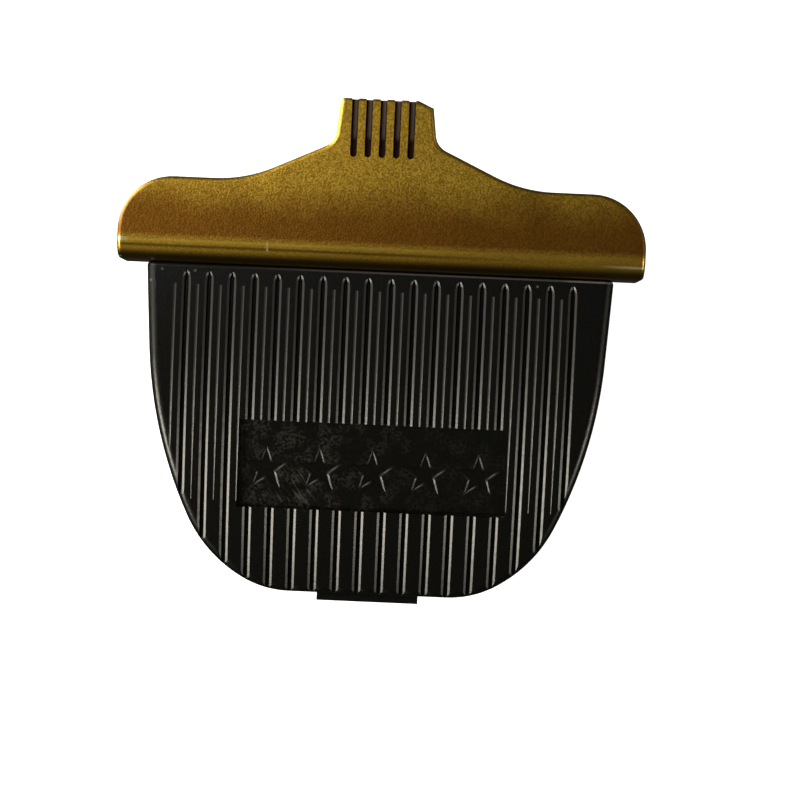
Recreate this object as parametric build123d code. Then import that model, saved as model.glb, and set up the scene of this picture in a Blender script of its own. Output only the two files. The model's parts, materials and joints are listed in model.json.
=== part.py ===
from build123d import *
from math import asin, cos, degrees, pi, radians, sin, sqrt, tan
import os

# Clip-on clipper blade, in millimetres. It lies on its open back: +Z points out of the ribbed face,
# +Y points to the comb's tip, and the origin is under the middle of its box, on the rim plane.

# Overall
BLADE_WIDTH = 45.3
BLADE_LENGTH = 14.55
BASE_LENGTH = 28.35
TAB_PROJECTION = 0.75
HEIGHT = 11.0

# Fixed blade: coated steel sheet, folded down along its rear edge
SHEET = 0.6
BEND_RADIUS = 2.15
FLANGE_DEPTH = 6.0
TIP_WIDTH = 7.95
NECK_WIDTH = 8.75
NECK_LENGTH = 3.84
NECK_FILLET = 1.6
SHOULDER_SLOPE = 25.0
SHOULDER_RADIUS = 12.0
WING_SETBACK = 7.33
WING_RADIUS = 4.7
HEM_CORNER_RADIUS = 0.5
TIP_CORNER_RADIUS = 0.45
WORN_CORNER_WIDTH = 1.3
WORN_CORNER_DROP = 0.6

# Comb slots, a little to the left of the blade's middle
SLOT_COUNT = 5
SLOT_PITCH = 1.222
SLOT_WIDTH = 0.57
SLOT_LENGTH = 5.05
SLOT_SHIFT = -0.3

# Moving blade: flat steel cutter behind the comb
CUTTER_SHEET = 0.9
CUTTER_FILM = 0.05
CUTTER_SETBACK = 0.06
CUTTER_GAP_WIDTH = 0.5
CUTTER_GAP_LENGTH = 3.35
CUTTER_SIDE_MARGIN = 0.08
CUTTER_NECK_LENGTH = 4.9
CUTTER_WIDTH = 19.2
CUTTER_SHOULDER = 4.1
CUTTER_HEM_GAP = 0.4
CUTTER_CORNER_WIDTH = 1.2
CUTTER_CORNER_DROP = 0.75
STROKE = 1.0

# Base: moulded shell with a ribbed face that curves down to the rear
BASE_INSET = 2.47
FACE_STEP = 2.0
FACE_RADIUS = 75.0
WALL = 1.5
ROOF = 1.6
FRONT_WALL = 2.2
EDGE_RADIUS = 0.8
FRONT_EDGE_RADIUS = 0.4
SIDE_LEAN = 3.5
FLANK_RADIUS = 40.0
FLANK_END = 25.0
CORNER_RADIUS = 12.0
CORNER_END = 60.0
HEEL_RADIUS = 8.4

# Grooves of the ribbed face
GROOVE_COUNT = 18
GROOVE_PITCH = 1.961
GROOVE_WIDTH = 0.38
GROOVE_DEPTH = 0.38
GROOVE_FLOOR = 0.16
GROOVE_LIP = 0.19
GROOVE_LIP_DROP = 0.1
GROOVE_START = 1.65
GROOVE_OVERRUN = 2.8
ARCH_LENGTH = 1.15
ARCH_CLEAR = 0.05
LINE_WIDTH = 0.24
LINE_DEPTH = 0.065
LINE_START = 1.85
LINE_END = 20.5
LINE_RADIUS = 76.4

# Sunk panel with five stars
PANEL_WIDTH = 23.4
PANEL_LENGTH = 7.65
PANEL_START = 13.35
PANEL_DEPTH = 0.45
STAR_COUNT = 5
STAR_PITCH = 4.61
STAR_RADIUS = 2.22
STAR_WAIST = 0.4
STAR_DEPTH = 0.13
STAR_DRAFT = 0.6
STAR_CLEAR = 0.05
STAR_OFFSET = 0.45

# Base details: hook tab, window for the drive pin, cheeks under the wings, lugs and roof ribs
TAB_WIDTH = 8.95
TAB_THICKNESS = 1.3
TAB_HEIGHT = 0.6
WINDOW_WIDTH = 12.4
WINDOW_HEIGHT = 4.7
CHEEK_INSET = 0.9
CHEEK_WIDTH = 3.6
CHEEK_LENGTH = 6.2
CHEEK_BOTTOM = 1.95
CHEEK_RADIUS = 2.5
FLANGE_PLAY = 0.15
LUG_LENGTH = 4.0
LUG_DEPTH = 0.6
LUG_THICKNESS = 1.0
LUG_HEIGHT = 1.4
LUG_DISTANCE = 7.0
RIB_SPACING = 17.0
RIB_WIDTH = 1.0
RIB_DEPTH = 0.9
RIB_END = 20.0

# Screws through the flange
SCREW_SPACING = 23.0
SCREW_RADIUS = 1.0
SCREW_LENGTH = 4.6
SCREW_HEAD_RADIUS = 1.6
SCREW_HEAD_HEIGHT = 1.1
SCREW_CROSS_WIDTH = 0.45
SCREW_CROSS_LENGTH = 1.9
SCREW_CROSS_DEPTH = 0.6
SCREW_HOLE_PLAY = 0.05
FLANGE_HOLE_PLAY = 0.15
BOSS_WALL = 0.75

# Pressure springs: wire coils on posts in front of the front wall
WIRE = 0.5
COIL_RADIUS = 1.45
COIL_TURNS = 3
COIL_PITCH = 0.6
COIL_STANDOFF = 1.9
POST_INSET = 4.48
POST_HEIGHT = 3.1
POST_PLAY = 0.1
POST_STICKOUT = 0.5
LEG_OVERHANG = 0.3
LEG_ANCHOR = 1.0
LEG_PLAY = 0.15
SPRING_FILM = 0.05

# Drive carrier: moulded yoke under the cutter
CARRIER_WIDTH = 14.8
CARRIER_LENGTH = 5.1
CARRIER_DECK = 1.6
CARRIER_FOOT = 1.0
FORK_SLOT = 3.2
PRONG_WIDTH = 2.0
EAR_WIDTH = 2.2
EAR_LENGTH = 1.7
EAR_LIP = 0.45
STAKE_RADIUS = 0.9
STAKE_SPACING = 11.0
STAKE_PLAY = 0.03
STAKE_SHORT = 0.1

# Levels and stations worked out from the sizes above
y_tip = (BLADE_LENGTH + BASE_LENGTH + TAB_PROJECTION) / 2
y_hem = y_tip - BLADE_LENGTH
y_rear = y_hem - BASE_LENGTH
z_under = HEIGHT - SHEET
z_flange = HEIGHT - FLANGE_DEPTH
z_screw = (z_flange + HEIGHT - BEND_RADIUS) / 2
z_cutter = z_under - CUTTER_FILM - CUTTER_SHEET
z_front = HEIGHT - FACE_STEP
z_leg = POST_HEIGHT + COIL_RADIUS
y_inside = y_hem + SHEET + FLANGE_PLAY
x_cutter = SLOT_SHIFT + SLOT_PITCH / 2
x_side = BLADE_WIDTH / 2 - BASE_INSET
x_cheek = x_side - CHEEK_INSET - CHEEK_WIDTH
x_post = x_cheek - POST_INSET
leg_slope = COIL_PITCH / (2 * pi * COIL_RADIUS)
face_axis = Axis((0, y_hem, z_front - FACE_RADIUS), (1, 0, 0))
hem_plane = Plane.XZ.offset(-y_hem)
FAR = 4 * (BLADE_WIDTH + BASE_LENGTH)


def block(x0, x1, y0, y1, z0, z1):
    """Box between two corners."""
    size = Box(x1 - x0, y1 - y0, z1 - z0)
    return Pos((x0 + x1) / 2, (y0 + y1) / 2, (z0 + z1) / 2) * size


def both_sides(shape):
    """A shape and its mirror image across the middle plane."""
    return [shape, mirror(shape, about=Plane.YZ)]


def face_angle(distance, radius=FACE_RADIUS):
    """Turn about the face's axis that reaches a distance behind the hem."""
    return degrees(asin(distance / radius))


def along_face(section, start, end, radius=FACE_RADIUS):
    """Sweep a section, drawn at the hem, along the curved face between two distances behind the hem."""
    axis = Axis((0, y_hem, z_front - radius), (1, 0, 0))
    first = face_angle(start, radius)
    return revolve(section, axis, face_angle(end, radius) - first).rotate(axis, first)


def y_rod(radius, x, y0, y1, z):
    """Round bar along Y."""
    return Pos(x, (y0 + y1) / 2, z) * Rot(-90, 0, 0) * Cylinder(radius, y1 - y0)


def x_rod(radius, x0, x1, y, z):
    """Round bar along X."""
    return Pos((x0 + x1) / 2, y, z) * Rot(0, 90, 0) * Cylinder(radius, x1 - x0)


def slot_row(first_x, pitch, width, length, y_open):
    """Round-ended comb slots, open past the tip."""
    straight = length - width / 2
    slots = Sketch()
    for i in range(SLOT_COUNT):
        x = first_x + i * pitch
        slots += Pos(x, y_open - straight / 2 + FAR / 2) * Rectangle(width, straight + FAR)
        slots += Pos(x, y_open - straight) * Circle(width / 2)
    return slots


def blade_plan():
    """Outline of the fixed blade seen from above, clockwise from the tip's left corner."""
    neck_y = y_tip - NECK_LENGTH
    wing_y = y_tip - WING_SETBACK
    wing_x = NECK_WIDTH / 2 + (neck_y - wing_y) / tan(radians(SHOULDER_SLOPE))
    side = BLADE_WIDTH / 2
    right = [(NECK_WIDTH / 2, neck_y), (wing_x, wing_y), (side, wing_y), (side, y_hem)]
    right_radii = [NECK_FILLET, SHOULDER_RADIUS, WING_RADIUS, HEM_CORNER_RADIUS]
    left = [(-x, y) for x, y in reversed(right)]
    worn = [(TIP_WIDTH / 2 - WORN_CORNER_WIDTH, y_tip), (TIP_WIDTH / 2, y_tip - WORN_CORNER_DROP)]
    points = [(-TIP_WIDTH / 2, y_tip), *worn, *right, *left]
    radii = [TIP_CORNER_RADIUS, 0, 0, *right_radii, *reversed(right_radii)]
    return make_face(FilletPolyline(*points, radius=radii, close=True))


def fixed_blade():
    """Sheet folded through a right angle, cut to its plan, slotted, and drilled for the screws."""
    knee = y_hem + BEND_RADIUS
    outer = [(knee, HEIGHT), (y_hem, HEIGHT - BEND_RADIUS)]
    inner = [(y_hem + SHEET, HEIGHT - BEND_RADIUS), (knee, z_under)]
    lean = sqrt(0.5)
    outer_mid = (knee - BEND_RADIUS * lean, HEIGHT - BEND_RADIUS * (1 - lean))
    inner_radius = BEND_RADIUS - SHEET
    inner_mid = (knee - inner_radius * lean, HEIGHT - BEND_RADIUS + inner_radius * lean)
    fold = [
        Line((y_tip, HEIGHT), outer[0]),
        ThreePointArc(outer[0], outer_mid, outer[1]),
        Polyline(outer[1], (y_hem, z_flange), (y_hem + SHEET, z_flange), inner[0]),
        ThreePointArc(inner[0], inner_mid, inner[1]),
        Polyline(inner[1], (y_tip, z_under), (y_tip, HEIGHT)),
    ]
    sheet = extrude(Plane.YZ * make_face(fold), BLADE_WIDTH / 2, both=True)
    first = SLOT_SHIFT - (SLOT_COUNT - 1) / 2 * SLOT_PITCH
    slots = slot_row(first, SLOT_PITCH, SLOT_WIDTH, SLOT_LENGTH, y_tip)
    blade = sheet & extrude(blade_plan() - slots, HEIGHT)
    radius = SCREW_RADIUS + FLANGE_HOLE_PLAY
    return blade - both_sides(y_rod(radius, SCREW_SPACING / 2, y_hem - SHEET, y_hem + 2 * SHEET, z_screw))


def moving_blade():
    """Cutter plate whose teeth stand behind the comb's slots, with two holes for the carrier's stakes."""
    half_neck = (TIP_WIDTH - STROKE) / 2 - CUTTER_SIDE_MARGIN
    front = y_tip - CUTTER_SETBACK
    back = y_hem + BEND_RADIUS + CUTTER_HEM_GAP
    right = [
        (half_neck, front - CUTTER_NECK_LENGTH),
        (CUTTER_WIDTH / 2, back + CUTTER_SHOULDER),
        (CUTTER_WIDTH / 2, back),
    ]
    left = [(-x, y) for x, y in reversed(right)]
    worn = [(half_neck - CUTTER_CORNER_WIDTH, front), (half_neck, front - CUTTER_CORNER_DROP)]
    plan = make_face(Polyline((-half_neck, front), *worn, *right, *left, close=True))
    first = -(SLOT_COUNT - 1) / 2 * SLOT_PITCH
    plan -= slot_row(first, SLOT_PITCH, CUTTER_GAP_WIDTH, CUTTER_GAP_LENGTH, front)
    for side in (-1, 1):
        plan -= Pos(side * STAKE_SPACING / 2, stake_y()) * Circle(STAKE_RADIUS + STAKE_PLAY)
    return Pos(x_cutter, 0, z_cutter) * extrude(plan, CUTTER_SHEET)


def stake_y():
    """Row of the carrier's stakes, in the middle of the cutter's shoulder."""
    return y_hem + BEND_RADIUS + CUTTER_HEM_GAP + CUTTER_SHOULDER / 2


def drive_carrier():
    """Yoke with a deck under the cutter, a fork for the drive pin and two ears on the spring legs."""
    y0 = y_inside
    z_deck = z_cutter - CARRIER_DECK
    half = CARRIER_WIDTH / 2
    carrier = block(-half, half, y0, y0 + CARRIER_LENGTH, z_deck, z_cutter)
    prong = block(FORK_SLOT / 2, FORK_SLOT / 2 + PRONG_WIDTH, y0, y0 + CARRIER_LENGTH, CARRIER_FOOT, z_deck)
    z_channel = z_leg + WIRE / 2 + SPRING_FILM
    ear = block(half - EAR_WIDTH, half, y0, y0 + EAR_LENGTH, z_channel - EAR_LIP, z_deck)
    ear_middle = (CARRIER_WIDTH - EAR_WIDTH) / 2
    leg_y = y_hem + COIL_STANDOFF - leg_slope * (x_post - ear_middle)
    slit = WIRE / 2 + LEG_PLAY
    ear -= block(0, BLADE_WIDTH, leg_y - slit, leg_y + slit, z_channel - 2 * EAR_LIP, z_channel)
    top = z_cutter + CUTTER_SHEET - STAKE_SHORT
    stake = Pos(STAKE_SPACING / 2, stake_y(), (z_deck + top) / 2) * Cylinder(STAKE_RADIUS, top - z_deck)
    for piece in (prong, ear, stake):
        carrier += both_sides(piece)
    return Pos(x_cutter, 0, 0) * carrier


def base_plan():
    """Outline of the base: straight leaning sides, then three arcs round to a flat rear edge."""
    turns = [SIDE_LEAN, FLANK_END, CORNER_END, 90.0]
    radii = [FLANK_RADIUS, CORNER_RADIUS, HEEL_RADIUS]
    runs = [r * (sin(radians(b)) - sin(radians(a))) for r, a, b in zip(radii, turns, turns[1:])]
    straight = BASE_LENGTH - sum(runs)
    start = (x_side, y_hem)
    corner = (start[0] - straight * tan(radians(SIDE_LEAN)), y_hem - straight)
    edges = [Line((0, y_hem), start), Line(start, corner)]
    for radius, a, b in zip(radii, turns, turns[1:]):
        heading = (-sin(radians(a)), -cos(radians(a)))
        edges.append(JernArc(edges[-1] @ 1, heading, radius, a - b))
    edges.append(Line(edges[-1] @ 1, (0, y_rear)))
    edges.append(Line((0, y_rear), (0, y_hem)))
    half = make_face(edges)
    return half + mirror(half, about=Plane.YZ)


def under_face(depth):
    """Everything in front of the rear edge and below the curved face sunk by a depth."""
    reach = FACE_RADIUS - depth
    section = hem_plane * Pos(0, z_front - FACE_RADIUS + reach / 2) * Rectangle(FAR, reach)
    return revolve(section, face_axis, 90)


def face_plane(distance, depth):
    """Plane that touches the face, sunk by a depth, at a distance behind the hem."""
    turn = radians(face_angle(distance))
    reach = FACE_RADIUS - depth
    origin = (0, y_hem - reach * sin(turn), z_front - FACE_RADIUS + reach * cos(turn))
    return Plane(origin=origin, x_dir=(1, 0, 0), z_dir=(0, -sin(turn), cos(turn)))


def arch(half, length):
    """Pointed end of a groove seen from above, with a short tail inside the groove."""
    tail = GROOVE_WIDTH / 4
    radius = (half**2 + length**2) / (2 * half)
    turn = asin(length / radius) / 2
    side = (half - radius * (1 - cos(turn)), radius * sin(turn))
    right = ThreePointArc((half, 0), side, (0, length))
    left = ThreePointArc((0, length), (-side[0], side[1]), (-half, 0))
    return make_face([right, left, Polyline((-half, 0), (-half, -tail), (half, -tail), (half, 0))])


def groove_cutters():
    """Grooves with bevelled lips and a pointed end, and left of each a fine line that fades to the rear."""
    half = GROOVE_WIDTH / 2
    lip = half + GROOVE_LIP
    floor = GROOVE_FLOOR / 2
    side = [(floor, -GROOVE_DEPTH), (half, -GROOVE_LIP_DROP), (lip, 0), (lip, GROOVE_DEPTH)]
    profile = Polyline(*side, *[(-x, z) for x, z in reversed(side)], close=True)
    notch = LINE_WIDTH / 2
    line = Polyline(
        (-notch, 0), (0, -LINE_DEPTH), (notch, 0), (notch, GROOVE_DEPTH), (-notch, GROOVE_DEPTH), close=True
    )
    flare = GROOVE_LIP / GROOVE_LIP_DROP * ARCH_CLEAR
    mouth = arch(lip + flare, ARCH_LENGTH + flare)
    throat = arch(half, ARCH_LENGTH - GROOVE_LIP)
    root = arch(floor, ARCH_LENGTH / 2)
    plane = face_plane(GROOVE_START, 0)
    end = BASE_LENGTH + GROOVE_OVERRUN
    cutters = []
    for i in range(GROOVE_COUNT):
        x = (i - (GROOVE_COUNT - 1) / 2) * GROOVE_PITCH
        top, middle, bottom = [
            plane * Pos(x, 0, level) * outline
            for level, outline in ((ARCH_CLEAR, mouth), (-GROOVE_LIP_DROP, throat), (-GROOVE_DEPTH, root))
        ]
        cutters.append(loft([top, middle], ruled=True))
        cutters.append(loft([middle, bottom], ruled=True))
        cutters.append(along_face(hem_plane * Pos(x, z_front) * make_face(profile), GROOVE_START, end))
        notch_at = hem_plane * Pos(x - GROOVE_PITCH / 2, z_front)
        cutters.append(along_face(notch_at * make_face(line), LINE_START, LINE_END, LINE_RADIUS))
    return cutters


def star(radius):
    """Five-pointed star with one point towards the comb."""
    points = []
    for i in range(10):
        reach = radius if i % 2 == 0 else radius * STAR_WAIST
        turn = pi / 2 + i * pi / 5
        points.append((reach * cos(turn), reach * sin(turn)))
    return make_face(Polyline(*points, close=True))


def star_cutters():
    """Sunk stars with sloping walls, square to the panel's floor."""
    distance = PANEL_START + PANEL_LENGTH / 2 + STAR_OFFSET
    plane = face_plane(distance, PANEL_DEPTH)
    flare = STAR_DRAFT / STAR_DEPTH * STAR_CLEAR
    cutters = []
    for i in range(STAR_COUNT):
        x = (i - (STAR_COUNT - 1) / 2) * STAR_PITCH
        low = plane * Pos(x, 0, -STAR_DEPTH) * star(STAR_RADIUS - STAR_DRAFT)
        high = plane * Pos(x, 0, STAR_CLEAR) * star(STAR_RADIUS + flare)
        cutters.append(loft([low, high], ruled=True))
    return cutters


def panel_cutter():
    """Shallow tray cut into the face."""
    section = hem_plane * Pos(0, z_front) * Rectangle(PANEL_WIDTH, 2 * PANEL_DEPTH)
    return along_face(section, PANEL_START, PANEL_START + PANEL_LENGTH)


def cheek():
    """Right-hand rest under the wing, with a slit for the flange and a hole for the anchored leg."""
    y1 = y_hem + CHEEK_LENGTH
    rest = block(x_cheek, x_cheek + CHEEK_WIDTH, y_hem, y1, CHEEK_BOTTOM, z_under)
    corners = rest.edges().filter_by(Axis.Z).sort_by(Axis.Y)[-2:]
    rest = fillet(corners.sort_by(Axis.X)[-1:], CHEEK_RADIUS)
    rest -= block(0, BLADE_WIDTH, y_hem, y_inside, z_flange - FLANGE_PLAY, HEIGHT)
    rest -= block(0, BLADE_WIDTH, y_hem, y_hem + BEND_RADIUS, HEIGHT - BEND_RADIUS, HEIGHT)
    reach = x_cheek + LEG_ANCHOR / 2 - x_post
    anchor_y = y_hem + COIL_STANDOFF + COIL_TURNS * COIL_PITCH + leg_slope * reach
    end = x_cheek + LEG_ANCHOR + LEG_PLAY
    return rest - x_rod(WIRE / 2 + LEG_PLAY, x_cheek - LEG_ANCHOR, end, anchor_y, z_leg)


def blade_base():
    """The whole moulding: ribbed shell, front wall, bosses, posts, cheeks, lugs and hook tab."""
    plan = base_plan()
    shell = extrude(plan, HEIGHT) & under_face(0)
    face = shell.faces().filter_by(GeomType.CYLINDER).sort_by(Axis.Z)[-1]
    shell = fillet(face.edges().sort_by(Axis.Y)[:-1], EDGE_RADIUS)
    front = shell.edges().filter_by(Axis.X).group_by(Axis.Y)[-1].sort_by(Axis.Z)[-1]
    shell = fillet(front, FRONT_EDGE_RADIUS)
    hollow = extrude(offset(plan, -WALL, kind=Kind.INTERSECTION), HEIGHT) & under_face(ROOF)
    hollow &= block(-FAR, FAR, y_rear, y_hem - FRONT_WALL, 0, HEIGHT)
    base = shell - hollow

    boss_radius = SCREW_RADIUS + SCREW_HOLE_PLAY + BOSS_WALL
    boss_back = y_hem - SCREW_LENGTH - BOSS_WALL
    boss = y_rod(boss_radius, SCREW_SPACING / 2, boss_back, y_hem, z_screw) & shell
    hole = y_rod(boss_radius - BOSS_WALL, SCREW_SPACING / 2, y_hem - SCREW_LENGTH, y_hem + WALL, z_screw)
    post_end = y_hem + COIL_STANDOFF + COIL_TURNS * COIL_PITCH + WIRE / 2 + POST_STICKOUT
    post_radius = COIL_RADIUS - WIRE / 2 - POST_PLAY
    post = y_rod(post_radius, x_post, y_hem - FRONT_WALL / 2, post_end, POST_HEIGHT)
    tip = post.edges().filter_by(GeomType.CIRCLE).sort_by(Axis.Y)[-1]
    post = chamfer(tip, post_radius / 4)
    lug_x = x_side - WALL - LUG_DISTANCE * tan(radians(SIDE_LEAN))
    lug_y = y_hem - LUG_DISTANCE
    lug = block(
        lug_x - LUG_DEPTH, lug_x + WALL / 2, lug_y - LUG_LENGTH / 2, lug_y + LUG_LENGTH / 2,
        LUG_HEIGHT, LUG_HEIGHT + LUG_THICKNESS,
    )
    roof_rib = hem_plane * Pos(RIB_SPACING / 2, z_front - ROOF) * Rectangle(RIB_WIDTH, 2 * RIB_DEPTH)
    rib = along_face(roof_rib, FRONT_WALL / 2, RIB_END)
    tab = block(
        -TAB_WIDTH / 2, TAB_WIDTH / 2, y_rear - TAB_PROJECTION, y_rear + WALL / 2,
        TAB_HEIGHT, TAB_HEIGHT + TAB_THICKNESS,
    )
    for piece in (boss, post, lug, rib, cheek()):
        base += both_sides(piece)
    base += tab
    base -= both_sides(hole)
    base -= block(-WINDOW_WIDTH / 2, WINDOW_WIDTH / 2, y_hem - FRONT_WALL, y_hem, 0, WINDOW_HEIGHT)
    base -= groove_cutters()
    base -= panel_cutter()
    return base - star_cutters()


def pressure_spring():
    """Right-hand torsion spring: a coil on its post, a leg under the carrier's ear and an anchored leg."""
    start = Plane(
        origin=(x_post, y_hem + COIL_STANDOFF, POST_HEIGHT), x_dir=(0, 0, 1), z_dir=(0, 1, 0)
    )
    coil = start * Helix(COIL_PITCH, COIL_TURNS * COIL_PITCH, COIL_RADIUS)
    anchored = x_cheek + LEG_ANCHOR - x_post
    reach = x_post - CARRIER_WIDTH / 2 + EAR_WIDTH + LEG_OVERHANG
    pressing = Line(coil @ 0 - (coil % 0) * reach, coil @ 0)
    holding = Line(coil @ 1, coil @ 1 + (coil % 1) * anchored)
    path = Wire([pressing, coil, holding])
    return sweep(Plane(path @ 0, z_dir=path % 0) * Circle(WIRE / 2), path)


def blade_screw():
    """Right-hand pan-head screw with a cross recess, its head on the flange's front."""
    x = SCREW_SPACING / 2
    seat = y_hem + SHEET
    shank = y_rod(SCREW_RADIUS, x, y_hem - SCREW_LENGTH + SHEET, seat, z_screw)
    head = y_rod(SCREW_HEAD_RADIUS, x, seat, seat + SCREW_HEAD_HEIGHT, z_screw)
    rim = head.edges().filter_by(GeomType.CIRCLE).sort_by(Axis.Y)[-1]
    head = fillet(rim, SCREW_HEAD_HEIGHT / 2)
    top = seat + SCREW_HEAD_HEIGHT
    long, short = SCREW_CROSS_LENGTH / 2, SCREW_CROSS_WIDTH / 2
    for half_x, half_z in ((long, short), (short, long)):
        x0, x1, z0, z1 = x - half_x, x + half_x, z_screw - half_z, z_screw + half_z
        head -= block(x0, x1, top - SCREW_CROSS_DEPTH, top, z0, z1)
    return shank + head


spring = pressure_spring()
pieces = {
    "blade_base": blade_base(),
    "fixed_blade": fixed_blade(),
    "moving_blade": moving_blade(),
    "drive_carrier": drive_carrier(),
    "pressure_spring_right": spring,
    "pressure_spring_left": mirror(spring, about=Plane.YZ),
    "blade_screws": Compound(both_sides(blade_screw())),
}
os.makedirs("parts", exist_ok=True)
for name, piece in pieces.items():
    export_step(piece, f"parts/{name}.step")
    print(name, round(piece.volume, 3))
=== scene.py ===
# %% [markdown]
# # A clip-on clipper blade
# The blade has a gold-coated comb sheet, a steel cutter that slides behind it, and a black ribbed
# base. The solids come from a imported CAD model, so this script only dresses them: it rounds the
# edges that catch light, gives each piece its finish, and sets up a plain studio. Blender works in
# metres, and a value whose name ends in _MM is in millimetres.

# %% Load the frame and keep its box
import json
from math import radians

import bmesh
import bpy
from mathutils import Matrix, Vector


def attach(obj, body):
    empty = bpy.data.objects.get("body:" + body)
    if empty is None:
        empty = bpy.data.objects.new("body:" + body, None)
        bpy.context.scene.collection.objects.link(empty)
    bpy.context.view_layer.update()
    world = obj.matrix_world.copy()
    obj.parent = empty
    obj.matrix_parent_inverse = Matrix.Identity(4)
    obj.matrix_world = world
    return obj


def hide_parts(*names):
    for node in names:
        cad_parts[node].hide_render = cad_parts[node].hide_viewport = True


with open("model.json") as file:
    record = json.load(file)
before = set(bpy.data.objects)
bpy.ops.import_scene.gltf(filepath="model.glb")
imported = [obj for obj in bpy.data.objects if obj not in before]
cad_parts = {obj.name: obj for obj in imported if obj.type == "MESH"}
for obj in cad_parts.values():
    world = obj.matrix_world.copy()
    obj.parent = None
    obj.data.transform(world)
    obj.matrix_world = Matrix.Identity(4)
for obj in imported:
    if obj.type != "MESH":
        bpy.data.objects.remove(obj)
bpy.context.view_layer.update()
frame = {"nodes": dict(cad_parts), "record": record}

MM = 0.001
scene = bpy.context.scene
nodes = frame["nodes"]
print("solids:", sorted(nodes))

# %% [markdown]
# ## Shader maths as plain arithmetic
# A finish is a small calculation: where a scuff is, how rough it is there, how pale. Blender does
# such sums with Math nodes. Wiring those by hand hides the idea, so one class wraps a socket and
# lets Python's own operators add the nodes. Every other node comes from its one method, `node`.

# %% A socket that can be calculated with
class Signal:
    """A node's output, or just the tree when there is none yet."""

    def __init__(self, tree, socket=None):
        self.tree = tree
        self.socket = socket

    def node(self, kind, settings=(), values=(), output=0):
        """Add a node: its settings first, then a value or link for each named socket."""
        made = self.tree.nodes.new(kind)
        for name, value in dict(settings).items():
            setattr(made, name, value)
        for name, value in dict(values).items():
            plug = made.inputs[name]
            if isinstance(value, Signal):
                self.tree.links.new(value.socket, plug)
            else:
                plug.default_value = value
        return Signal(self.tree, made.outputs[output])

    def math(self, operation, first, second=0.0):
        """Add a Math node for one or two values."""
        return self.node("ShaderNodeMath", {"operation": operation}, {0: first, 1: second})

    def __add__(self, other):
        return self.math("ADD", self, other)

    def __radd__(self, other):
        return self.math("ADD", other, self)

    def __sub__(self, other):
        return self.math("SUBTRACT", self, other)

    def __rsub__(self, other):
        return self.math("SUBTRACT", other, self)

    def __mul__(self, other):
        return self.math("MULTIPLY", self, other)

    def __rmul__(self, other):
        return self.math("MULTIPLY", other, self)

    def __truediv__(self, other):
        return self.math("DIVIDE", self, other)


# %% [markdown]
# ## A finish and its coordinates
# A finish starts from the Principled shader and the piece's own Object coordinates, so that its
# pattern stays on the piece when the piece moves. A value that is the same all over goes straight
# onto the shader's socket, and a pattern is linked to it.

# %% Start a finish
def new_finish(name, **constants):
    """A material with a Principled shader; constants go straight onto its sockets."""
    material = bpy.data.materials.new(name)
    material.use_nodes = True
    tree = material.node_tree
    shader = tree.nodes["Principled BSDF"]
    for socket, value in constants.items():
        shader.inputs[socket.replace("_", " ")].default_value = value
    place = Signal(tree).node("ShaderNodeTexCoord", output="Object")
    return material, shader, place


def feed(shader, socket, signal):
    """Link a pattern to one of the shader's sockets."""
    signal.tree.links.new(signal.socket, shader.inputs[socket])


def in_mm(place, axis):
    """One coordinate of a place, in millimetres."""
    return place.node("ShaderNodeSeparateXYZ", values={"Vector": place}, output=axis) / MM


# %% [markdown]
# ## Patterns
# A few helpers cover every finish here: cloudy noise, a soft step between two levels, a blend of
# two colours, and a bump. A bump only bends the shading, which is enough for grain this fine.

# %% The patterns that finishes are built from
def noise(place, grain_mm, detail=2.0, stretch=(1, 1, 1), turn=0.0):
    """Cloudy noise from 0 to 1, in blobs of about grain_mm that can be drawn out and turned."""
    spread = place.node(
        "ShaderNodeMapping",
        {"vector_type": "TEXTURE"},
        {"Vector": place, "Rotation": (0, 0, radians(turn)), "Scale": stretch},
    )
    values = {"Vector": spread, "Scale": 1 / (grain_mm * MM), "Detail": detail}
    return place.node("ShaderNodeTexNoise", values=values)


def step(signal, low, high):
    """0 below low, 1 above high and smooth between."""
    settings = {"interpolation_type": "SMOOTHSTEP"}
    values = {"Value": signal, "From Min": low, "From Max": high}
    return signal.node("ShaderNodeMapRange", settings, values)


def within(signal, low, high, soft):
    """1 between two levels, with soft ends."""
    return step(signal, low - soft, low) * (1.0 - step(signal, high, high + soft))


def mix(factor, first, second):
    """A blend of two colours; 6, 7 and 2 are the Mix node's colour sockets."""
    return factor.node("ShaderNodeMix", {"data_type": "RGBA"}, {0: factor, 6: first, 7: second}, 2)


def bump(height, distance_mm):
    """A surface that rises by distance_mm where the height is 1."""
    values = {"Height": height, "Distance": distance_mm * MM, "Strength": 1.0}
    return height.node("ShaderNodeBump", values=values)


# %% [markdown]
# ## Where the gold changes
# The comb sheet's colour carries painted light as well as its gold. A brown band above its fold is
# a painted dark reflection, a pale line along the fold's crest is a painted highlight with a line
# of painted shade below it, and both fade to the right. The fold's lower half gets painted shade,
# the sheet gets painted shade towards its right, the fold's two ends get painted highlights, and
# one bright nick, worn through the coat, shows on the crest. Each of these is a zone of the sheet.
# Two numbers are the start and the end of a slow change, and a third is the width over which a
# narrow zone's edges fade.

# %% Zones of the comb sheet
BEND_MM = 9.425
FLAT_MM = (BEND_MM - 0.55, BEND_MM + 0.25)
# A band of painted dark reflection above the fold, with a cloudy edge.
DARK_REFLECTION_MM = (12.5, 17.0)
CLOUD_SHIFT_MM = 3.0
# Painted shade that grows towards the right, away from the brighter light.
RIGHT_SHADE_MM = (-16.0, 16.0)
LINES_FADE_MM = (0.0, 14.0)
# A painted highlight along the fold's crest, and painted shade below it and on the fold's lower
# half.
PALE_LINE_MM = (BEND_MM - 0.50, BEND_MM - 0.38, 0.12)
DARK_LINE_MM = (BEND_MM - 0.92, BEND_MM - 0.86, 0.18)
LOWER_FOLD_MM = (BEND_MM - 1.75, BEND_MM - 1.15)
DARK_LINE_SHADE = 0.7
LOWER_FOLD_SHADE = 0.95


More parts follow.
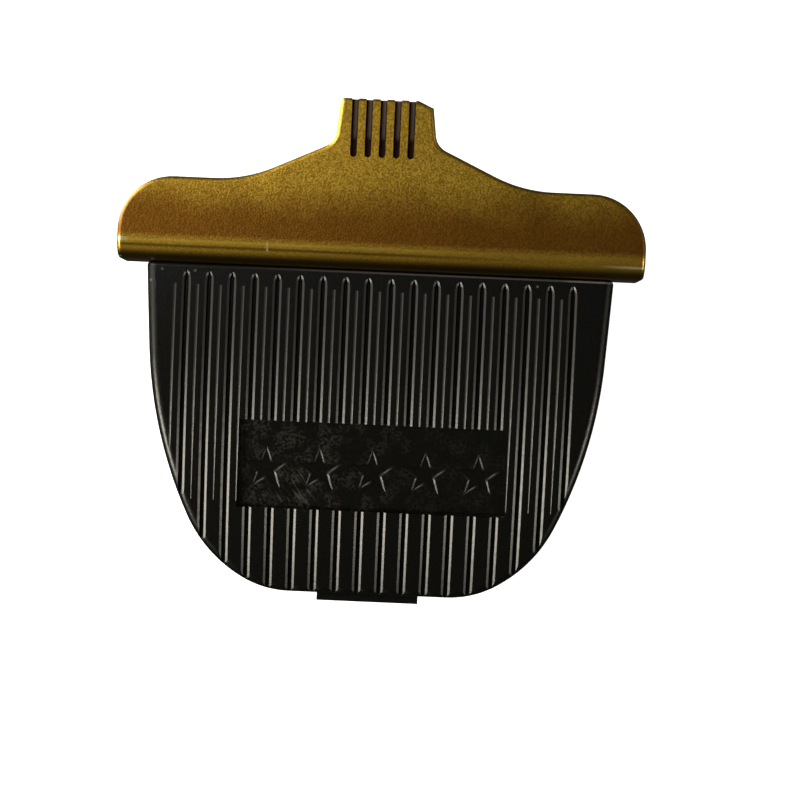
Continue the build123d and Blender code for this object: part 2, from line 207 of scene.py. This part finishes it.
def fold_shade(along, lines):
    """How much painted shade the fold gets: a thin line below its crest, and its lower half."""
    line = within(along, *DARK_LINE_MM) * lines
    lower = 1.0 - step(along, *LOWER_FOLD_MM)
    return along.math("MAXIMUM", line * DARK_LINE_SHADE, lower * LOWER_FOLD_SHADE)


# %% A nick through its coat, and painted highlights on the fold's ends
NICK_MM = ((-9.78, -9.72, 0.06), (8.40, 9.15, 0.06))
# The fold's two ends get painted highlights.
RIGHT_END_MM = ((18.0, 22.0), (8.27, 8.38, 0.10))
LEFT_END_MM = ((21.5, 22.3), (8.85, 9.10, 0.10))  # the first pair counts to the left


def nick_and_end_glints(across, along):
    """1 on the nick through the coat, and on the fold's two ends, which get a painted highlight."""
    nick = within(across, *NICK_MM[0]) * within(along, *NICK_MM[1])
    right_end = step(across, *RIGHT_END_MM[0]) * within(along, *RIGHT_END_MM[1])
    left_end = step(0.0 - across, *LEFT_END_MM[0]) * within(along, *LEFT_END_MM[1])
    return nick + right_end + left_end


# %% [markdown]
# ## Gold coating on satin steel
# The sheet is stamped steel with a thin, hard, gold-coloured coating. The coating is a metal, so
# its colour lives in its reflections. Fine grain from the blasted steel below makes it sparkle,
# less so on the fold. A thin film of oil over it adds pale glints on the edges, and the shader's
# coat layer stands for that film.

# %% The gold coat
GOLD = ((0.50, 0.285, 0.027, 1), (0.90, 0.565, 0.070, 1))
# The brown of that painted dark reflection.
DARK_REFLECTION_GOLD = ((0.24, 0.095, 0.010, 1), (0.315, 0.133, 0.015, 1))
DARK_GOLD = (0.085, 0.056, 0.006, 1)
PALE_GOLD = (0.95, 0.65, 0.11, 1)
# The colour of the painted shade towards the right.
RIGHT_SHADE_GOLD = (0.10, 0.050, 0.004, 1)
BARE_METAL_AND_GLINT = (0.95, 0.85, 0.45, 1)
FINE_SHARE = 0.85
SPECKLE = (0.35, 0.65)
FOLD_SPARKLE = 0.35
LINES_FADE = 0.85
PALE_LINE_SHINE = 0.5
RIGHT_SHADE_SHARE = 0.30


def gold_coat():
    material, shader, place = new_finish(
        "gold_coat", Metallic=1.0, Coat_Weight=0.6, Coat_Roughness=0.1
    )
    grain = noise(place, grain_mm=0.15)
    drifts = noise(place, grain_mm=0.7)
    clouds = noise(place, grain_mm=5.0, detail=3.0)
    across = in_mm(place, "X")
    along = in_mm(place, "Y")
    flat = step(along, *FLAT_MM)
    speckle = step(grain * FINE_SHARE + drifts * (1 - FINE_SHARE), *SPECKLE)
    sparkle = 0.5 + (speckle - 0.5) * (FOLD_SPARKLE + flat * (1 - FOLD_SPARKLE))
    # The band of painted dark reflection turns the flat from gold to brown.
    dark_reflection = flat * (1.0 - step(along + clouds * CLOUD_SHIFT_MM, *DARK_REFLECTION_MM))
    colour = mix(dark_reflection, mix(sparkle, *GOLD), mix(sparkle, *DARK_REFLECTION_GOLD))
    lines = 1.0 - LINES_FADE * step(across, *LINES_FADE_MM)
    # Painted shade on the fold, then a painted highlight along its crest.
    colour = mix(fold_shade(along, lines), colour, DARK_GOLD)
    colour = mix(within(along, *PALE_LINE_MM) * lines * PALE_LINE_SHINE, colour, PALE_GOLD)
    # Painted shade, darker towards the right.
    colour = mix(step(across, *RIGHT_SHADE_MM) * RIGHT_SHADE_SHARE, colour, RIGHT_SHADE_GOLD)
    # The nick is worn through the coat; the fold's two ends get painted highlights.
    feed(shader, "Base Color", mix(nick_and_end_glints(across, along), colour, BARE_METAL_AND_GLINT))
    feed(shader, "Roughness", 0.30 + grain * 0.12 + clouds * 0.05)
    feed(shader, "Normal", bump(grain, distance_mm=0.02))
    return material


# %% [markdown]
# ## Where the plastic is worn
# Wear needs contact. The base's sunk panel has been rubbed, but the floors of its stars lie deeper
# and stay clean, and so does the hollow underside. The face was swept around one axis, so a
# point's distance from that axis tells how deep it lies.

# %% Depth below the swept face
FACE_RADIUS_MM = 75.0
FACE_TOP_MM = 9.0
FACE_AXIS_MM = (0.0, 7.275, FACE_TOP_MM - FACE_RADIUS_MM)
PANEL_DEPTH_MM = 0.45
FLOOR_RADIUS_MM = FACE_RADIUS_MM - PANEL_DEPTH_MM
REACH_MM = (FLOOR_RADIUS_MM - 0.08, FLOOR_RADIUS_MM - 0.04)


def distance(aside, along):
    """The length of the line that has these two parts."""
    return aside.math("SQRT", aside * aside + along * along)


def in_reach(place):
    """1 on the face and the panel's floor, 0 on the stars' floors and the underside."""
    radius = distance(in_mm(place, "Y") - FACE_AXIS_MM[1], in_mm(place, "Z") - FACE_AXIS_MM[2])
    return step(radius, *REACH_MM)


# %% [markdown]
# ## Rubbed patches, scuffs, chips and a painted edge highlight
# The base's panel is rubbed in patches, most at the left end, and a bunch of slanting scuffs
# crosses it between the first two stars. The front edge gets a pale painted highlight, strongest
# at its right end, and a few small chips show beside the grooves. Each kind of wear, and the
# painted highlight, is a mask of its own, so that it can have its own colour.

# %% Rubbed patches and scuffs
PANEL_MM = ((-11.7, 11.7, 0.1), (-13.7, -6.1, 0.1))
LESS_WORN_MM = (-6.0, 6.0)
LESS_WORN = 0.7
PATCHES = (0.42, 0.62)
SPECKS = (0.40, 0.62)
SCUFFS_AT_MM = (-6.8, -12.0)
SCUFFS_FADE_MM = (0.6, 3.0)
STROKES = (0.56, 0.68)


def rubbed_patches(across, along, clouds, mould):
    """1 where the panel is rubbed: specks of the mould's grain, in cloudy patches."""
    panel = within(across, *PANEL_MM[0]) * within(along, *PANEL_MM[1])
    worn = panel * (1.0 - LESS_WORN * step(across, *LESS_WORN_MM))
    return worn * step(clouds, *PATCHES) * step(mould, *SPECKS)


def slanting_scuffs(place, across, along):
    """1 on drawn-out strokes around one point of the panel."""
    away = distance(across - SCUFFS_AT_MM[0], along - SCUFFS_AT_MM[1])
    strokes = noise(place, grain_mm=0.5, stretch=(0.35, 4.0, 1.0), turn=35)
    return (1.0 - step(away, *SCUFFS_FADE_MM)) * step(strokes, *STROKES)


# %% Chips and the painted highlight on the front edge
# A painted highlight along the front edge, paler towards its right end; the chips are real wear.
FRONT_EDGE_MM = (6.98, 7.08, 0.06)
EDGE_BRIGHTER_MM = (-16.0, 2.0)
EDGE_BRIGHTEST_MM = (15.6, 16.4)
EDGE_HIGHLIGHT_SHARES = (0.05, 0.40, 0.55)
CHIPS_MM = ((-19.75, 5.60), (-18.80, 6.60), (-15.96, 6.57), (13.57, 6.44))
CHIP_RADIUS_MM = (0.06, 0.16)
CHIP_SHINE = 0.5


def edge_highlight_and_chip_mask(across, along):
    """How pale the plastic is: a painted highlight on its front edge, and a few small chips."""
    all_along, paler_share, brightest_share = EDGE_HIGHLIGHT_SHARES
    pale = all_along + step(across, *EDGE_BRIGHTER_MM) * paler_share + step(across, *EDGE_BRIGHTEST_MM) * brightest_share
    chips = sum(1.0 - step(distance(across - x, along - y), *CHIP_RADIUS_MM) for x, y in CHIPS_MM)
    return within(along, *FRONT_EDGE_MM) * pale + chips * CHIP_SHINE


# %% [markdown]
# ## Black moulded plastic
# The base is injection-moulded, nearly black and semi-gloss, with the fine grain of its mould. Wear
# makes it paler, and a painted highlight pales its front edge; rubbing and scuffs also make it
# rougher.

# %% The base's plastic
BLACK = (0.0009, 0.0009, 0.0006, 1)
RUBBED = (0.0120, 0.0114, 0.0086, 1)
SCUFFED = (0.045, 0.041, 0.030, 1)
CHIP_AND_HIGHLIGHT_GREY = (0.16, 0.14, 0.13, 1)
SCUFF_SHINE = 0.7


def base_plastic():
    material, shader, place = new_finish("base_plastic", IOR=1.45)
    across = in_mm(place, "X")
    along = in_mm(place, "Y")
    reach = in_reach(place)
    mould = noise(place, grain_mm=0.25, detail=3.0)
    clouds = noise(place, grain_mm=1.6, detail=3.0)
    paler_share = reach * rubbed_patches(across, along, clouds, mould)
    scuffs = reach * slanting_scuffs(place, across, along)
    # A painted highlight on the front edge, and real chips.
    highlight_and_chips = reach * edge_highlight_and_chip_mask(across, along)
    colour = mix(scuffs * SCUFF_SHINE, mix(paler_share, BLACK, RUBBED), SCUFFED)
    feed(shader, "Base Color", mix(highlight_and_chips, colour, CHIP_AND_HIGHLIGHT_GREY))
    feed(shader, "Roughness", 0.24 + mould * 0.12 + paler_share * 0.10 + scuffs * 0.10)
    feed(shader, "Normal", bump(mould, distance_mm=0.010))
    return material


# %% [markdown]
# ## Ground steel, spring wire and screws
# The cutter is ground flat, which leaves fine parallel lines. Drawn wire and plated screws are
# smoother. One function makes all three: stretched noise gives the lines, and the roughness sets
# how far they glint. It hands its colour back, so that painted shadow can be laid over it.

# %% Bare steel finishes
def ground_steel(name, dark, light, rough, lines):
    """A steel finish without its colour, then that colour and the coordinates."""
    material, shader, place = new_finish(name, Metallic=1.0)
    strokes = noise(place, grain_mm=0.3, detail=3.0, stretch=lines)
    tarnish = noise(place, grain_mm=2.5, detail=3.0)
    feed(shader, "Roughness", rough + strokes * 0.12 + tarnish * 0.06)
    feed(shader, "Normal", bump(strokes, distance_mm=0.004))
    return material, shader, mix(strokes * 0.6 + tarnish * 0.4, dark, light), place


def bare_steel(name, **choices):
    """A steel finish with nothing laid over its colour."""
    material, shader, colour, _ = ground_steel(name, **choices)
    feed(shader, "Base Color", colour)
    return material


# %% [markdown]
# ## The cutter's teeth
# Each cutter tooth stands behind a slot of the comb. Its ground middle keeps its grey, while its
# sides and root get painted shadow, where the comb and the slot's walls shade it. Folding the
# distance along the row over the slots' pitch paints every tooth with one strip.

# %% The cutter's steel
# Dark, reddish steel: painted shade, as the cutter lies under the comb, with a painted reflection
# of its gold.
GROUND_DARK = (0.13, 0.105, 0.105, 1)
GROUND_LIGHT = (0.25, 0.21, 0.21, 1)
# The colour of the painted shadow in the slots.
SLOT_SHADOW_STEEL = (0.050, 0.024, 0.022, 1)
SLOT_PITCH_MM = 1.222
MIDDLE_SLOT_MM = -0.3
STRIP_MM = (-0.10, 0.16, 0.06)
STRIP_START_MM = (18.2, 18.8)
SLOT_END_MM = (16.3, 16.7)


def cutter_steel():
    material, shader, ground, place = ground_steel(
        "cutter_steel", GROUND_DARK, GROUND_LIGHT, rough=0.28, lines=(0.2, 3, 1)
    )
    along = in_mm(place, "Y")
    half = SLOT_PITCH_MM / 2
    row = in_mm(place, "X") - (MIDDLE_SLOT_MM - half)
    from_slot = place.math("FLOORED_MODULO", row, SLOT_PITCH_MM) - half
    strip = within(from_slot, *STRIP_MM) * step(along, *STRIP_START_MM)
    # Painted shadow on each tooth's sides and root, outside its ground strip.
    slot_shadow = (1.0 - strip) * step(along, *SLOT_END_MM)
    feed(shader, "Base Color", mix(slot_shadow, ground, SLOT_SHADOW_STEEL))
    return material


# %% [markdown]
# ## Natural plastic of the carrier
# The carrier that moves the cutter is moulded in a slippery, undyed plastic. It is matte and
# slightly yellow, with faint flow marks.

# %% The carrier's plastic
NATURAL = ((0.66, 0.63, 0.55, 1), (0.74, 0.72, 0.66, 1))


def carrier_plastic():
    material, shader, place = new_finish("carrier_plastic", IOR=1.48)
    flow = noise(place, grain_mm=2.0, stretch=(1, 3, 1))
    mould = noise(place, grain_mm=0.2)
    feed(shader, "Base Color", mix(flow, *NATURAL))
    feed(shader, "Roughness", 0.42 + mould * 0.12)
    feed(shader, "Normal", bump(mould, distance_mm=0.008))
    return material


# %% [markdown]
# ## A rounded edge on the stamped sheet
# Coated sheet never has knife edges: tumbling rounds them, and the round shows as a thin light or
# dark line along the outline. The copy of the CAD sheet is merged, its flat triangles are dissolved
# into whole faces, and its outline is bevelled. Normals weighted by face size keep the flat faces
# flat.

# %% Copy a solid and make it a piece
JOIN_MM = 0.0005


def merged_copy(node):
    """A bmesh of a CAD node's triangles, with their corners joined."""
    shape = bmesh.new()
    shape.from_mesh(nodes[node].data)
    bmesh.ops.remove_doubles(shape, verts=shape.verts, dist=JOIN_MM * MM)
    return shape


def add_piece(name, shape, body, stands_for, crease=35):
    """Make the finished mesh an object that rides on a body in place of CAD nodes."""
    mesh = bpy.data.meshes.new(name)
    shape.to_mesh(mesh)
    shape.free()
    mesh.shade_smooth()
    mesh.set_sharp_from_angle(angle=radians(crease))
    piece = bpy.data.objects.new(name, mesh)
    scene.collection.objects.link(piece)
    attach(piece, body)
    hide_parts(*stands_for)
    print(name, len(mesh.polygons), "faces")
    return piece


# %% Which edges are rounded
FLAT_ANGLE = radians(1.0)
SHARP_ANGLE = radians(40)
UPWARD = 0.5
COMB_HALF_MM = 3.2
COMB_LENGTH_MM = 5.2
TIP_MM = 0.01
HOLES_HALF_MM = 14.0
HOLES_BELOW_MM = 1.9
sheet = merged_copy("fixed_blade")
bmesh.ops.dissolve_limit(sheet, angle_limit=FLAT_ANGLE, verts=sheet.verts, edges=sheet.edges)
tip_y = max(v.co.y for v in sheet.verts)
top_z = max(v.co.z for v in sheet.verts)


def on_top(edge):
    """True for the sharp edges of the face that shows."""
    if not edge.is_manifold or edge.calc_face_angle() <= SHARP_ANGLE:
        return False
    return any(face.normal.z > UPWARD for face in edge.link_faces)


def in_comb(edge):
    """True for the slots' edges, which stay crisp; the tips of the teeth are rounded."""
    if all(v.co.y > tip_y - TIP_MM * MM for v in edge.verts):
        return False
    comb_y = tip_y - COMB_LENGTH_MM * MM
    return all(abs(v.co.x) < COMB_HALF_MM * MM and v.co.y > comb_y for v in edge.verts)


def in_hole(edge):
    """True for the rims of the flange's screw holes."""
    hole_z = top_z - HOLES_BELOW_MM * MM
    return all(v.co.z < hole_z and abs(v.co.x) < HOLES_HALF_MM * MM for v in edge.verts)


# %% Round them
TOP_ROUND_MM = 0.36
ROUND_STEPS = 4
outline = [e for e in sheet.edges if on_top(e) and not in_comb(e) and not in_hole(e)]
print("rounded edges:", len(outline))
bmesh.ops.bevel(
    sheet, geom=outline, offset=TOP_ROUND_MM * MM, offset_type="OFFSET", affect="EDGES",
    segments=ROUND_STEPS, profile=0.5, material=-1, clamp_overlap=False,
)
comb_sheet = add_piece("comb_sheet", sheet, "base", ["fixed_blade"])
weights = comb_sheet.modifiers.new("weights", "WEIGHTED_NORMAL")
weights.keep_sharp = True

# %% [markdown]
# ## True normals for the ribbed face
# The face, its grooves and its panel were all swept around one axis far below the base, but CAD
# hands over long thin triangles, and normals averaged over those shade in streaks. The axis is
# known, so each swept triangle can be told its true normal: its sideways part stays the same, and
# the rest points straight away from the axis at every corner.

# %% The ribbed base
skin = merged_copy("blade_base")
ribbed_base = add_piece("ribbed_base", skin, "base", ["blade_base"], crease=15)

# %% Its normals
FACE_RADIUS = FACE_RADIUS_MM * MM
FACE_AXIS = Vector(FACE_AXIS_MM) * MM
SUNK = 0.7 * MM  # no groove or panel lies deeper than this
SAME = 0.01 * MM  # two radii this close count as one
OFF_SWEEP = 0.06  # how far a swept triangle may lean along the sweep


def from_axis(point):
    """The line from the face's axis to a point."""
    arm = point - FACE_AXIS
    arm.x = 0
    return arm


def swept_normals(mesh):
    """Corner normals: true ones on swept triangles, and the smoothed ones elsewhere."""
    normals = [corner.vector.copy() for corner in mesh.corner_normals]
    count = 0
    for face in mesh.polygons:
        arms = [from_axis(mesh.vertices[v].co) for v in face.vertices]
        radii = [arm.length for arm in arms]
        away = from_axis(face.center).normalized()
        leans = abs(face.normal.dot(Vector((0, away.z, -away.y)))) > OFF_SWEEP
        if leans or min(radii) < FACE_RADIUS - SUNK or max(radii) > FACE_RADIUS + SAME:
            continue
        level = max(radii) - min(radii) < SAME
        count += 1
        for loop, arm in zip(face.loop_indices, arms):
            normal = arm.normalized() * face.normal.dot(away)
            normal.x = 0 if level else face.normal.x
            normals[loop] = normal.normalized()
    print("swept triangles:", count)
    return normals


ribbed_base.data.normals_split_custom_set(swept_normals(ribbed_base.data))

# %% [markdown]
# ## Dress the solids
# The other solids already have their shape. Each takes its finish and the record's material slot.

# %% Give every piece its finish
WIRE = {"dark": (0.30, 0.30, 0.31, 1), "light": (0.46, 0.46, 0.47, 1)}
PLATED = {"dark": (0.32, 0.31, 0.30, 1), "light": (0.46, 0.45, 0.43, 1)}
finishes = {
    "gold_coat": gold_coat(),
    "base_plastic": base_plastic(),
    "cutter_steel": cutter_steel(),
    "carrier_plastic": carrier_plastic(),
    "spring_wire": bare_steel("spring_wire", **WIRE, rough=0.22, lines=(3, 0.5, 0.5)),
    "screw_steel": bare_steel("screw_steel", **PLATED, rough=0.24, lines=(1, 1, 1)),
}
slots = {row["node"]: row["material_slot"] for row in frame["record"]["subparts"]}
for node, slot in slots.items():
    nodes[node].data.materials.clear()
    nodes[node].data.materials.append(finishes[slot])
comb_sheet.data.materials.append(finishes["gold_coat"])
ribbed_base.data.materials.append(finishes["base_plastic"])
print("finishes:", sorted(finishes))

# %% [markdown]
# ## A white floor
# The blade lies on white paper that glows a little, as a lit backdrop does. Reflections don't see
# it, so the underside of the fold stays dark.

# %% Floor
FLOOR_HALF = 3.0
FLOOR_DROP_MM = 0.02
floor_shape = bmesh.new()
bmesh.ops.create_grid(floor_shape, x_segments=1, y_segments=1, size=FLOOR_HALF)
floor_mesh = bpy.data.meshes.new("floor")
floor_shape.to_mesh(floor_mesh)
floor_shape.free()
floor = bpy.data.objects.new("floor", floor_mesh)
floor.location = (0, 0, -FLOOR_DROP_MM * MM)
floor.visible_glossy = False
scene.collection.objects.link(floor)
print("floor:", 2 * FLOOR_HALF, "m wide")

# %% Its paper
PAPER = ((0.80, 0.80, 0.80, 1), (0.84, 0.84, 0.84, 1))
WHITE_GLOW = (1, 1, 1, 1)
paper, paper_shader, paper_place = new_finish(
    "paper", Roughness=0.9, Emission_Color=WHITE_GLOW, Emission_Strength=0.95
)
feed(paper_shader, "Base Color", mix(noise(paper_place, grain_mm=3.0), *PAPER))
floor_mesh.materials.append(paper)

# %% [markdown]
# ## A tent that is bright at the sides
# From above, a flat black face mirrors what is overhead and a sloped lip mirrors what is at the
# side. So the tent is dark overhead and has bright walls left and right: the groove lips show as
# light lines, and the lands between them stay black. One bright corner, behind and to the left,
# lights the neck's edge. Each wall starts softly, between two shares of a direction's length.

# %% The tent's parts
OVERHEAD = 0.03
LEFT_WALL = 1.0
LEFT_FROM = (0.20, 0.85)
RIGHT_WALL = 0.65
RIGHT_FROM = (0.50, 0.85)
FRONT_GAIN = 0.35
FRONT_FROM = (0.15, 0.42)
WALLS_FROM = (0.08, 0.35)
CORNER = 7.0
CORNER_LEFT_FROM = (0.45, 0.85)
CORNER_BACK_FROM = (0.05, 0.35)
WARM_WHITE = (1.0, 0.98, 0.82, 1)
world = bpy.data.worlds.new("tent")
scene.world = world
world.use_nodes = True
direction = Signal(world.node_tree).node("ShaderNodeTexCoord", output="Generated")


def part_of(axis):
    """How far a direction points along an axis, from -1 to 1."""
    return direction.node("ShaderNodeSeparateXYZ", values={"Vector": direction}, output=axis)


# %% The tent's light
left = 0.0 - part_of("X")
walls = step(left, *LEFT_FROM) * LEFT_WALL + step(part_of("X"), *RIGHT_FROM) * RIGHT_WALL
front = step(0.0 - part_of("Y"), *FRONT_FROM)
above_floor = step(part_of("Z"), *WALLS_FROM)
corner = step(left, *CORNER_LEFT_FROM) * step(part_of("Y"), *CORNER_BACK_FROM)
glow = OVERHEAD + walls * (1.0 + front * FRONT_GAIN) * above_floor + corner * CORNER
background = world.node_tree.nodes["Background"]
background.inputs["Color"].default_value = WARM_WHITE
feed(background, "Strength", glow)
print("tent:", len(world.node_tree.nodes), "nodes")

# %% [markdown]
# ## Three soft lamps
# Two warm lamps low at the sides brighten the lips behind the panel, the left one more. A weak lamp
# up to the left gives the gold its slow change from light to dark.

# %% Lamps
WARM = (1.0, 0.93, 0.78)
WHITE = (1.0, 1.0, 1.0)


def soft_lamp(name, place, size, energy, colour):
    """A round soft lamp that faces the blade."""
    lamp_data = bpy.data.lights.new(name, "AREA")
    lamp_data.shape = "DISK"
    lamp_data.size = size
    lamp_data.energy = energy
    lamp_data.color = colour
    lamp = bpy.data.objects.new(name, lamp_data)
    lamp.location = place
    lamp.rotation_mode = "QUATERNION"
    lamp.rotation_quaternion = lamp.location.to_track_quat("Z", "Y")
    scene.collection.objects.link(lamp)
    print(name, place)


soft_lamp("left_lamp", place=(-0.48, -0.26, 0.25), size=0.26, energy=3.2, colour=WARM)
soft_lamp("right_lamp", place=(0.48, -0.26, 0.28), size=0.19, energy=0.9, colour=WARM)
soft_lamp("top_lamp", place=(-0.20, 0.11, 0.42), size=0.20, energy=0.30, colour=WHITE)

# %% [markdown]
# ## Camera
# The photograph looks straight down from about a quarter of a metre, with the blade turned a little
# clockwise. The camera is given the point at the picture's middle, its distance and the picture's
# roll.

# %% Camera
AIM_MM = (2.16, -3.82, 11.0)
DISTANCE_MM = 250.0
FRAME_WIDTH_MM = 68.38
ROLL = radians(2.5)
SENSOR_MM = 36.0
camera_data = bpy.data.cameras.new("camera")
camera_data.sensor_width = SENSOR_MM
camera_data.lens = SENSOR_MM * DISTANCE_MM / FRAME_WIDTH_MM
camera = bpy.data.objects.new("camera", camera_data)
camera.location = (Vector(AIM_MM) + Vector((0, 0, DISTANCE_MM))) * MM
camera.rotation_euler = (0, 0, ROLL)
scene.collection.objects.link(camera)
scene.camera = camera
scene.view_settings.view_transform = "Standard"
print("lens:", round(camera_data.lens, 1), "mm")
